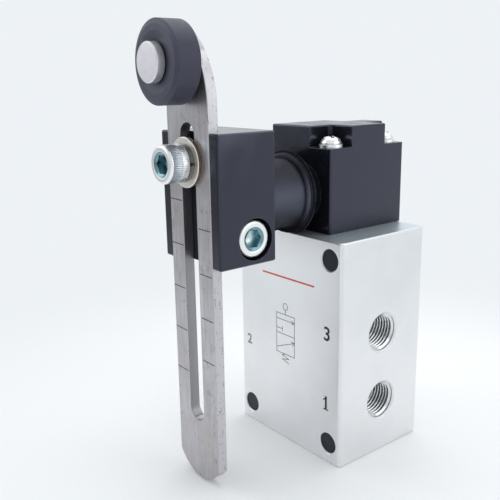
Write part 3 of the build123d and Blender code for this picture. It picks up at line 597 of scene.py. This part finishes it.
def pointing(origin, axis):
    """Matrix that takes Z to an axis and the origin to a place, in millimetres."""
    turn = Vector(axis).to_track_quat("Z", "Y").to_matrix().to_4x4()
    return Matrix.Translation(Vector(origin)) @ turn


def hexagon_radius(angle, across_flats):
    """Radius of a hexagon's outline in a direction."""
    sixth = math.pi / 3
    return across_flats / 2 / math.cos((angle % sixth) - sixth / 2)


def add_ridge(bm, root, crest, pitch, turns, start):
    """Helical thread ridge about Z, with closed ends, from a start height upwards."""
    steps, half = 64, pitch * 0.42
    corners = ((root, 0, start - half), (crest, 0, start), (root, 0, start + half))
    ridge = bmesh.new()
    points = [ridge.verts.new(corner) for corner in corners]
    edges = [ridge.edges.new(pair) for pair in zip(points, points[1:] + points[:1])]
    made = bmesh.ops.spin(ridge, geom=points + edges, cent=(0, 0, 0), axis=(0, 0, 1),
                          dvec=(0, 0, pitch / steps), angle=2 * math.pi * turns,
                          steps=steps * turns, use_merge=False, use_duplicate=False)
    bmesh.ops.contextual_create(ridge, geom=points)
    last = [v for v in made["geom_last"] if isinstance(v, bmesh.types.BMVert)]
    bmesh.ops.contextual_create(ridge, geom=last)
    mesh = bpy.data.meshes.new("ridge")
    ridge.to_mesh(mesh)
    ridge.free()
    bm.from_mesh(mesh)
    bpy.data.meshes.remove(mesh)


class VALVE_OT_finishes(bpy.types.Operator):
    """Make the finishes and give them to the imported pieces"""

    bl_idname = "valve.finishes"
    bl_label = "Finishes"

    def execute(self, context):
        finish = context.scene.valve_finish
        casting, zinc, steel = tuple(finish.casting), tuple(finish.zinc), tuple(finish.steel)
        finish_aluminium(finish)
        finish_black("head_finish", casting, rough=0.18, grain_scale=4200.0,
                     bump_strength=0.06, wear_and_highlight=0.22, specular=0.86, barrel=True)
        # The hub's front faces keep less gloss, a painted shade
        finish_black("hub_finish", casting, rough=0.10, grain_scale=5200.0,
                     bump_strength=0.06, wear_and_highlight=0.22, specular=0.80, front_share=0.65)
        # The roller's front faces get more gloss, a painted light
        finish_black("roller_finish", tuple(finish.roller), rough=0.46, grain_scale=4200.0,
                     bump_strength=0.22, wear_and_highlight=0.06, specular=0.5, front_share=1.4)
        finish_black("plug_finish", tuple(finish.plug), rough=0.34, grain_scale=2500.0,
                     bump_strength=0.12, wear_and_highlight=0.05, specular=0.45)
        finish_black("rubber_finish", tuple(finish.rubber), rough=0.50, grain_scale=3000.0,
                     bump_strength=0.20, wear_and_highlight=0.05, specular=0.5)

        # Plated finishes: name, colour, roughness, tint
        cold_zinc = (zinc[0] * 0.92, zinc[1] * 0.96, zinc[2] * 0.98)
        finish_plated("zinc_finish", zinc, 0.27, cold_zinc)
        finish_plated("washer_finish", (0.84, 0.81, 0.76), 0.36, (0.76, 0.73, 0.68))
        # The washer's edge is a dark copy of its plating, a painted shade
        finish_plated("washer_edge_painted_shade", (0.16, 0.11, 0.08), 0.40, (0.24, 0.17, 0.12))
        finish_plated("spring_washer_finish", (0.20, 0.20, 0.19), 0.30, (0.14, 0.14, 0.13))
        # The knurled side of a socket head is a darker copy of the zinc, a painted shade
        finish_plated("knurl_painted_shade", (0.62, 0.66, 0.70), 0.25, (0.55, 0.60, 0.65))
        finish_plated("pan_head_finish", shade(zinc, 1.1), 0.16, zinc)
        finish_plated("pin_finish", shade(steel, 1.45), 0.34, shade(steel, 1.35))
        # The ports' entry chamfers are a brighter copy of the aluminium, a painted highlight
        finish_plated("chamfer_painted_highlight", shade(finish.aluminium, 1.08), 0.40, finish.aluminium,
                      metallic=0.3)

        # Plain metals: name, colour, roughness
        finish_brushed("arm_finish", steel, 0.36)
        # Socket walls: the plating's teal tint, darkened as painted shade
        finish_metal("socket_tint_and_painted_shade", tuple(finish.socket), 0.20)
        finish_metal("socket_floor_finish", (0.70, 0.84, 0.87), 0.30)
        # Cross recesses of the pan heads: a near black copy of the zinc, a painted shade
        finish_metal("recess_painted_shade", shade(zinc, 0.18), 0.30)
        finish_metal("inner_steel_finish", shade(steel, 0.9), 0.30)
        finish_metal("cut_aluminium", shade(finish.aluminium, 0.92), 0.22)
        finish_metal("brass_finish", tuple(finish.brass), 0.30)

        finish_ink("dark_print", tuple(finish.dark_ink))
        finish_ink("grey_print", tuple(finish.grey_ink))
        finish_ink("red_print", tuple(finish.red_ink))
        by_slot = {
            "body_aluminium": "satin_aluminium", "black_casting": "head_finish",
            "black_plastic": "plug_finish", "roller_plastic": "roller_finish",
            "zinc_plated": "zinc_finish", "stainless": "pin_finish", "arm_stainless": "arm_finish",
            "spring_steel": "inner_steel_finish", "brass": "brass_finish",
            "seal_rubber": "rubber_finish",
        }
        chosen = {row["node"]: by_slot[row["material_slot"]] for row in frame["record"]["subparts"]}
        chosen["lever_hub"] = "hub_finish"
        chosen["spring_washer"] = "spring_washer_finish"
        for name, obj in nodes.items():
            obj.material_slots[0].material = bpy.data.materials[chosen[name]]
        return {"FINISHED"}


class VALVE_OT_port_threads(bpy.types.Operator):
    """Thread ridges and entry chamfers in the three ports"""

    bl_idname = "valve.port_threads"
    bl_label = "Port threads"

    def execute(self, context):
        detail = context.scene.valve_detail
        pitch = detail.thread_pitch
        first_ridge, plain_end = 0.14, 0.8
        chamfer, skin = 0.385, 0.03
        for name in ("return_port", "supply_port", "work_port"):
            mount = mounts[name]
            wall = mount["dims"]["r_mm"]
            inward = -Vector(mount["axis"])
            mouth = Vector(mount["pos_m"]) / MM
            turns = int((mount["dims"]["length_mm"] - plain_end) / pitch)
            bm = bmesh.new()
            add_ridge(bm, wall + skin, wall - detail.thread_depth, pitch, turns, first_ridge)
            piece(name + "_thread", bm, ["cut_aluminium"], "housing",
                  matrix=pointing(mouth, inward))
            face = Vector((math.copysign(body_high.x, mouth.x), mouth.y, mouth.z))
            # Entry chamfer ring in the brighter finish, a painted highlight
            broad = wall + chamfer
            bm = lathe([(broad, 0), (wall, chamfer), (wall - skin, chamfer), (broad - skin, 0),
                        (broad, 0)], 96)
            piece(name + "_chamfer", bm, ["chamfer_painted_highlight"], "housing",
                  matrix=pointing(face, inward))
        return {"FINISHED"}


def socket_screw(detail, length):
    """M5 socket head screw from its tip up along Z: threaded shank, knurled head, hexagon socket.

    Its faces are in material slot 0, in the socket 1, on the socket's floor 2, on the knurl 3.
    """
    head, shank, root, flats = 4.25, 2.5, 2.1, 4.0
    head_height, socket_depth, rim = 4.8, 2.6, 0.45
    corner = flats / math.sqrt(3)
    sink, sink_slope = corner + 0.5, 0.6
    top, under_head, floor = length, length - head_height, length - socket_depth
    knurl_low, knurl_high = top - 3.0, top - 0.75
    thread_start, thread_end = 0.4, under_head - 0.6
    profile = [
        (0, 0), (1.7, 0), (root, thread_start), (root, thread_end), (shank, thread_end + 0.3),
        (shank, under_head), (head - 0.15, under_head), (head, under_head + 0.15),
        (head, knurl_low - 0.1), (head, knurl_low), (head, knurl_high), (head, knurl_high + 0.1),
        (head - 0.03, top - rim), (head - 0.15, top - 0.2), (head - 0.36, top - 0.05),
        (head - 0.6, top), (sink, top), (corner, top - 0.3), (corner, floor),
        (0.9, floor - 0.15), (0, floor - 0.6),
    ]
    bm = lathe(profile, 216)
    for v in bm.verts:
        radius = math.hypot(v.co.x, v.co.y)
        angle = math.atan2(v.co.y, v.co.x)
        if v.co.z >= floor - 0.01 and abs(radius - corner) < 0.01:
            new = hexagon_radius(angle, flats)
            if v.co.z > floor + 0.5:
                v.co.z = top - (sink - new) * sink_slope
        elif radius > head - 0.02 and knurl_low - 0.05 < v.co.z < knurl_high + 0.05:
            tooth = 0.5 - 0.5 * math.cos(angle * detail.knurl_teeth)
            new = radius - detail.knurl_depth * tooth
        else:
            continue
        v.co.x *= new / radius
        v.co.y *= new / radius
    for face in bm.faces:
        centre = face.calc_center_median()
        # Faces in the socket take its teal tint darkened as painted shade, those on its floor a
        # paler teal
        if math.hypot(centre.x, centre.y) < corner + 0.3 and centre.z > floor - 0.7:
            face.material_index = 1 if centre.z > floor else 2
        # Knurl faces take the darker zinc, a painted shade
        elif knurl_low - 0.1 < centre.z < knurl_high + 0.05:
            face.material_index = 3
    turns = int((thread_end - thread_start) / detail.screw_pitch)
    add_ridge(bm, root - 0.02, shank, detail.screw_pitch, turns, thread_start + 0.2)
    return bm


class VALVE_OT_socket_screws(bpy.types.Operator):
    """The clamp screw and the arm screw with knurl, socket and thread, and the flat washer"""

    bl_idname = "valve.socket_screws"
    bl_label = "Socket head screws"

    def execute(self, context):
        detail = context.scene.valve_detail
        finishes = ["zinc_finish", "socket_tint_and_painted_shade", "socket_floor_finish", "knurl_painted_shade"]
        arm_z = (arm_screw_low.z + arm_screw_high.z) / 2
        bm = socket_screw(detail, arm_screw_high.y - arm_screw_low.y)
        piece("arm_screw_detailed", bm, finishes, "hub", ["arm_screw"],
              pointing((0, arm_screw_high.y, arm_z), (0, -1, 0)))
        middle = (clamp_low + clamp_high) / 2
        bm = socket_screw(detail, clamp_high.x - clamp_low.x)
        piece("clamp_screw_detailed", bm, finishes, "hub", ["clamp_screw"],
              pointing((clamp_low.x, middle.y, middle.z), (1, 0, 0)))
        washer_low, washer_high = box_mm("flat_washer")
        rim, hole, edge = (washer_high.x - washer_low.x) / 2, 2.7, 0.15
        thick = washer_high.y - washer_low.y
        bm = lathe([(hole, 0), (rim - edge, 0), (rim, edge), (rim, thick - edge),
                    (rim - edge, thick), (hole + edge, thick), (hole, thick - edge), (hole, 0)], 96)
        # Edge faces take the washer's painted shade
        for face in bm.faces:
            if abs(face.normal.z) < 0.3:
                face.material_index = 1
        piece("flat_washer_detailed", bm, ["washer_finish", "washer_edge_painted_shade"], "hub",
              ["flat_washer"], pointing((0, washer_high.y, arm_z), (0, -1, 0)))
        return {"FINISHED"}


class VALVE_OT_return_spring(bpy.types.Operator):
    """Return spring, a smooth shaded copy in the inner steel finish in place of the imported one"""

    bl_idname = "valve.return_spring"
    bl_label = "Return spring"

    def execute(self, context):
        low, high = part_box("return_spring")
        bm = bmesh.new()
        bm.from_mesh(nodes["return_spring"].data)
        bmesh.ops.scale(bm, vec=Vector((1 / MM, 1 / MM, 1 / MM)), verts=bm.verts)
        piece("return_spring_bending", bm, ["inner_steel_finish"], "housing",
              ["return_spring"], bend=("plunger", (0, 0, low.z), (0, 0, high.z)))
        return {"FINISHED"}


class VALVE_OT_head_screws(bpy.types.Operator):
    """Three pan head screws with cross recesses"""

    bl_idname = "valve.head_screws"
    bl_label = "Head screws"

    def execute(self, context):
        head, crown, fullness, shank = 2.6, 1.9, 2.6, 1.5
        packed_head = 2.75
        cross_width, cross_reach, cross_depth, cross_wall, cross_end = 0.36, 1.5, 1.2, 0.12, 0.25
        under = box_mm("head_washers")[1].z
        tip = head_screw_low.z
        left, right = head_screw_low.x + packed_head, head_screw_high.x - packed_head
        front, back = head_screw_low.y + packed_head, head_screw_high.y - packed_head
        dome = []
        rings = 26
        for i in range(rings + 1):
            radius = head * (1 - i / rings)
            height = crown * (1 - (radius / head) ** fullness) ** 0.5
            dome.append((radius, under + max(0.4, height)))
        profile = [(0, tip), (1.1, tip), (shank, tip + 0.4), (shank, under), (head - 0.4, under),
                   (head - 0.35, under + 0.1), (head, under + 0.28)] + dome
        for i, (x, y) in enumerate(((right, front), (right, back), (left, back))):
            bm = lathe(profile, 96)
            turn = Matrix.Rotation(0.5 + 0.9 * i, 4, "Z")
            for v in bm.verts:
                if v.co.z < under + 0.3:
                    continue
                p = turn @ v.co
                near, far = sorted((abs(p.x), abs(p.y)))
                inside = max(0.0, min(1.0, (cross_width - near) / cross_wall + 0.5))
                reach = max(0.0, min(1.0, (cross_reach - far) / cross_end + 0.5))
                v.co.z -= cross_depth * inside * reach * (1.15 - 0.35 * far)
                # Faces in the cross recess take the painted shade
                if inside * reach > 0.5:
                    for face in v.link_faces:
                        face.material_index = 1
            piece(f"head_screw_{i + 1}", bm, ["pan_head_finish", "recess_painted_shade"], "housing",
                  ["head_screws"] if i == 0 else (), Matrix.Translation((x, y, 0)))
        return {"FINISHED"}


def flat_text(words, height, matrix):
    """Bold figures as a thin solid in millimetres, centred, as a bmesh."""
    height_share = 0.7
    curve = bpy.data.curves.new("figures", "FONT")
    curve.body = words
    curve.size = height / height_share
    curve.align_x = "CENTER"
    curve.align_y = "CENTER"
    curve.extrude = 0.01
    curve.offset = 0.09
    holder = bpy.data.objects.new("figures", curve)
    bpy.context.scene.collection.objects.link(holder)
    bpy.context.view_layer.update()
    seen = holder.evaluated_get(bpy.context.evaluated_depsgraph_get())
    mesh = bpy.data.meshes.new_from_object(seen)
    bpy.data.objects.remove(holder)
    bpy.data.curves.remove(curve)
    bm = bmesh.new()
    bm.from_mesh(mesh)
    bpy.data.meshes.remove(mesh)
    bmesh.ops.transform(bm, matrix=matrix, verts=bm.verts)
    return bm


def stroke(bm, start, end, width, thickness, y):
    """Thin bar on a face that looks along -Y, from (x, z) to (x, z)."""
    a, b = Vector((start[0], y, start[1])), Vector((end[0], y, end[1]))
    made = bmesh.ops.create_cube(bm, size=1.0)["verts"]
    along = b - a
    angle = math.atan2(along.z, along.x)
    place = (Matrix.Translation((a + b) / 2) @ Matrix.Rotation(-angle, 4, "Y")
             @ Matrix.Diagonal((along.length + width, thickness, width, 1)))
    bmesh.ops.transform(bm, matrix=place, verts=made)


class VALVE_OT_front_print(bpy.types.Operator):
    """Port numbers, flow symbol and coloured rule on the front face"""

    bl_idname = "valve.front_print"
    bl_label = "Front print"

    def execute(self, context):
        detail = context.scene.valve_detail
        thick = detail.print_thickness
        self.numbers(detail.number_height, body_low.y - 0.005)
        y = body_low.y - thick / 2 + 0.004
        rule_z, rule_width = 45.6, 0.45
        bm = bmesh.new()
        stroke(bm, (-9.5, rule_z), (9.8, rule_z), rule_width, thick, y)
        piece("front_rule", bm, ["red_print"], "housing")
        self.symbol(thick, y)
        return {"FINISHED"}

    def numbers(self, height, y):
        """Figure, place, share of the full height, and ink of each port's number."""
        upright = Matrix.Rotation(math.pi / 2, 4, "X")
        places = (("2", -15.8, 24.4, 0.80, "grey_print"), ("3", 14.6, 34.4, 1.0, "dark_print"),
                  ("1", 14.5, 16.0, 1.0, "dark_print"))
        for figure, x, z, size, ink in places:
            bm = flat_text(figure, height * size, Matrix.Translation((x, y, z)) @ upright)
            if figure == "1":
                self.serifs(bm, x, z, height, y)
            piece("port_number_" + figure, bm, [ink], "housing")

    def serifs(self, bm, x, z, height, y):
        """Foot and flag of a figure one."""
        half, width, thick = height / 2, 0.32, 0.02
        foot = z - half + width / 2
        stroke(bm, (x - 0.75, foot), (x + 0.75, foot), width, thick, y)
        stroke(bm, (x - 0.8, z + half - 0.8), (x - 0.1, z + half - width), width, thick, y)

    def symbol(self, thick, y):
        """Two flow boxes, one above the other, a spring below and a roller on a stem above."""
        left, right, low, middle, high = -4.2, 2.8, 24.5, 30.0, 35.5
        line = 0.22
        upper, lower = (middle + high) / 2, (low + middle) / 2
        stop = left + (right - left) / 3
        stem, ring_radius = -0.7, 0.9
        lines = [((left, z), (right, z)) for z in (low, middle, high)]
        lines += [((x, low), (x, high)) for x in (left, right)]
        lines += [
            ((left, upper + 1.2), (right, upper + 1.2)),
            ((right - 1.1, upper + 1.7), (right, upper + 1.2)),
            ((right - 1.1, upper + 0.7), (right, upper + 1.2)),
            ((left, upper - 1.4), (stop, upper - 1.4)),
            ((stop, upper - 2.0), (stop, upper - 0.8)),
            ((left, lower - 1.5), (right, lower + 1.3)),
            ((right - 1.2, lower + 1.4), (right, lower + 1.3)),
            ((right - 0.8, lower + 0.3), (right, lower + 1.3)),
        ]
        spring = [(stem, low), (-2.0, low - 0.5), (0.6, low - 1.1), (-2.0, low - 1.7),
                  (0.6, low - 2.3)]
        lines += zip(spring, spring[1:])
        lines.append(((stem, high), (stem, high + 1.3)))
        bm = bmesh.new()
        for start, end in lines:
            stroke(bm, start, end, line, thick, y)
        turns = [i * math.pi / 8 for i in range(17)]
        ring = [(stem + ring_radius * math.sin(turn), high + 2.2 - ring_radius * math.cos(turn))
                for turn in turns]
        for start, end in zip(ring, ring[1:]):
            stroke(bm, start, end, line * 0.8, thick, y)
        piece("flow_symbol", bm, ["grey_print"], "housing")


class VALVE_OT_arm_scale(bpy.types.Operator):
    """Scribed marks along both sides of the arm's slot"""

    bl_idname = "valve.arm_scale"
    bl_label = "Arm scale"

    def execute(self, context):
        detail = context.scene.valve_detail
        front = arm_low.y - 0.002
        outer, inner = arm_high.x - 0.35, 3.25
        lean = 0.05
        bm = bmesh.new()
        for count, highest, start, end in ((5, 69.0, -outer, -inner), (4, 63.4, inner, outer)):
            for i in range(count):
                z = highest - detail.mark_pitch * i
                stroke(bm, (start, z), (end, z - lean), detail.mark_width, detail.print_thickness,
                       front)
        piece("arm_scale_marks", bm, ["dark_print"], "arm")
        return {"FINISHED"}


class VALVE_OT_stage(bpy.types.Operator):
    """Pale sweep, soft lamps and the camera"""

    bl_idname = "valve.stage"
    bl_label = "Stage"

    def execute(self, context):
        settings = context.scene.valve_stage
        scene = context.scene
        scene.view_settings.view_transform = "Standard"
        self.camera(scene, settings)
        self.sweep(tuple(settings.background))
        self.sky(scene, tuple(settings.background))
        self.lamp("top_softbox", (-40, 100, 330), (0, 0, 40), size=0.42, power=0.45)
        self.lamp("right_softbox", (330, 120, 190), (0, 0, 45), size=0.36, power=0.25)
        self.lamp("left_softbox", (-240, -240, 260), (0, -20, 60), size=0.30, power=0.25)
        return {"FINISHED"}

    def camera(self, scene, settings):
        turn, tilt, roll = settings.camera_turn, settings.camera_tilt, settings.camera_roll
        forward = Vector((math.sin(turn) * math.cos(tilt), math.cos(turn) * math.cos(tilt),
                          -math.sin(tilt)))
        level = Vector((math.cos(turn), -math.sin(turn), 0))
        above = level.cross(forward)
        right = level * math.cos(roll) + above * math.sin(roll)
        up = above * math.cos(roll) - level * math.sin(roll)
        data = bpy.data.cameras.new("camera")
        data.sensor_width = 36
        data.lens = settings.focal_length
        data.clip_start = 0.01
        camera = bpy.data.objects.new("camera", data)
        turned = Matrix((right, up, -forward)).transposed().to_4x4()
        camera.matrix_world = Matrix.Translation(Vector(settings.camera_place) * MM) @ turned
        scene.collection.objects.link(camera)
        scene.camera = camera

    def sweep(self, colour):
        """Floor that fades into the background colour away from the valve.

        Gloss that reflects it far to the valve's left finds a darker colour.
        """
        bm = bmesh.new()
        bmesh.ops.create_grid(bm, x_segments=8, y_segments=8, size=1.5)
        mesh = bpy.data.meshes.new("floor")
        bm.to_mesh(mesh)
        bm.free()
        floor = bpy.data.objects.new("floor", mesh)
        bpy.context.scene.collection.objects.link(floor)
        tree, shader = material("floor_paper")
        shader.inputs["Base Color"].default_value = (0.91, 0.91, 0.91, 1)
        shader.inputs["Roughness"].default_value = 0.7
        shader.inputs["Specular IOR Level"].default_value = 0.2
        place = tree.nodes.new("ShaderNodeTexCoord").outputs["Object"]
        length = tree.nodes.new("ShaderNodeVectorMath")
        length.operation = "LENGTH"
        tree.links.new(place, length.inputs[0])
        away = ramp(tree, length.outputs["Value"], 0.045, 0.16)
        path = tree.nodes.new("ShaderNodeLightPath")
        glossy = path.outputs["Is Glossy Ray"]
        seen = math_node(tree, "MAXIMUM", path.outputs["Is Camera Ray"], glossy)
        seen = math_node(tree, "MAXIMUM", seen, path.outputs["Is Transmission Ray"])
        toward = tree.nodes.new("ShaderNodeVectorMath")
        toward.operation = "DOT_PRODUCT"
        toward.inputs[1].default_value = (-0.78, -0.62, 0)
        tree.links.new(place, toward.inputs[0])
        far = ramp(tree, toward.outputs["Value"], 0.18, 0.36)
        darker = math_node(tree, "MULTIPLY", far, glossy)
        glow = tree.nodes.new("ShaderNodeEmission")
        tree.links.new(mix_colour(tree, darker, colour, shade(colour, 0.5)), glow.inputs["Color"])
        mix = tree.nodes.new("ShaderNodeMixShader")
        tree.links.new(math_node(tree, "MULTIPLY", away, seen), mix.inputs["Fac"])
        tree.links.new(shader.outputs["BSDF"], mix.inputs[1])
        tree.links.new(glow.outputs["Emission"], mix.inputs[2])
        tree.links.new(mix.outputs["Shader"], tree.nodes["Material Output"].inputs["Surface"])
        mesh.materials.append(bpy.data.materials["floor_paper"])

    def sky(self, scene, colour):
        """Pale surroundings, a little darker than the background that the camera sees."""
        world = bpy.data.worlds.new("studio")
        scene.world = world
        world.use_nodes = True
        tree = world.node_tree
        background = tree.nodes["Background"]
        path = tree.nodes.new("ShaderNodeLightPath")
        seen = mix_colour(tree, path.outputs["Is Camera Ray"], shade(colour, 0.83), colour)
        tree.links.new(seen, background.inputs["Color"])

    def lamp(self, name, place, target, size, power):
        """Round soft lamp: place and target in millimetres, size in metres, power in watts."""
        data = bpy.data.lights.new(name, "AREA")
        data.shape = "DISK"
        data.size = size
        data.energy = power
        lamp = bpy.data.objects.new(name, data)
        start = Vector(place) * MM
        aim = (Vector(target) * MM - start).to_track_quat("-Z", "Y").to_matrix().to_4x4()
        lamp.matrix_world = Matrix.Translation(start) @ aim
        bpy.context.scene.collection.objects.link(lamp)


class VALVE_PT_panel(bpy.types.Panel):
    """Sizes, colours and steps"""

    bl_label = "Roller lever valve"
    bl_idname = "VALVE_PT_panel"
    bl_space_type = "VIEW_3D"
    bl_region_type = "UI"
    bl_category = "Valve"

    def draw(self, context):
        layout = self.layout
        scene = context.scene
        for settings in (scene.valve_detail, scene.valve_finish, scene.valve_stage):
            box = layout.box()
            for label in settings.__annotations__:
                box.prop(settings, label)
        for step in STEPS:
            layout.operator(step.bl_idname)


STEPS = (
    VALVE_OT_finishes,
    VALVE_OT_port_threads,
    VALVE_OT_socket_screws,
    VALVE_OT_head_screws,
    VALVE_OT_return_spring,
    VALVE_OT_front_print,
    VALVE_OT_arm_scale,
    VALVE_OT_stage,
)
SETTINGS = (FinishSettings, DetailSettings, StageSettings)


def register():
    for part in (*SETTINGS, *STEPS, VALVE_PT_panel):
        bpy.utils.register_class(part)
    bpy.types.Scene.valve_finish = bpy.props.PointerProperty(type=FinishSettings)
    bpy.types.Scene.valve_detail = bpy.props.PointerProperty(type=DetailSettings)
    bpy.types.Scene.valve_stage = bpy.props.PointerProperty(type=StageSettings)


def unregister():
    del bpy.types.Scene.valve_stage
    del bpy.types.Scene.valve_detail
    del bpy.types.Scene.valve_finish
    for part in reversed((*SETTINGS, *STEPS, VALVE_PT_panel)):
        bpy.utils.unregister_class(part)


def main():
    register()
    bpy.ops.valve.finishes()
    bpy.ops.valve.port_threads()
    bpy.ops.valve.socket_screws()
    bpy.ops.valve.head_screws()
    bpy.ops.valve.return_spring()
    bpy.ops.valve.front_print()
    bpy.ops.valve.arm_scale()
    bpy.ops.valve.stage()


if __name__ == "__main__":
    main()
